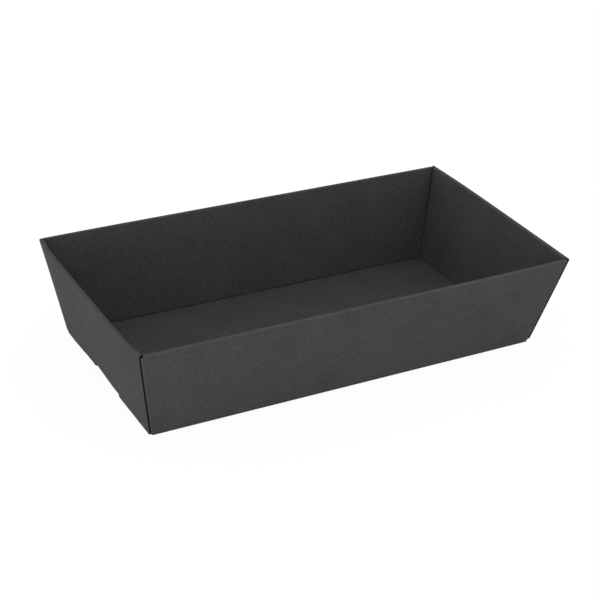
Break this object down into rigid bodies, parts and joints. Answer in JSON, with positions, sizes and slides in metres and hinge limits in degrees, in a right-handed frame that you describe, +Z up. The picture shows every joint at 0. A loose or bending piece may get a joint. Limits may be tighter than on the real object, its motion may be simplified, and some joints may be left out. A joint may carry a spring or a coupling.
{
  "type": "cardboard tray",
  "caption": "Open rectangular tray of black cardboard with flared walls, folded from one blank, with rolled-over rims and locked linings.",
  "frame": {"origin": "middle of the underside of the floor panel, on the surface that the tray stands on", "axes": "+X along the tray, +Y across it, +Z up out of its mouth"},
  "size_m": [0.382, 0.2, 0.082],
  "materials": {
    "black_board": "matt black kraft liner on micro-flute board"
  },
  "bodies": {
    "root": {"tray": "black_board"}
  },
  "joints": []
}
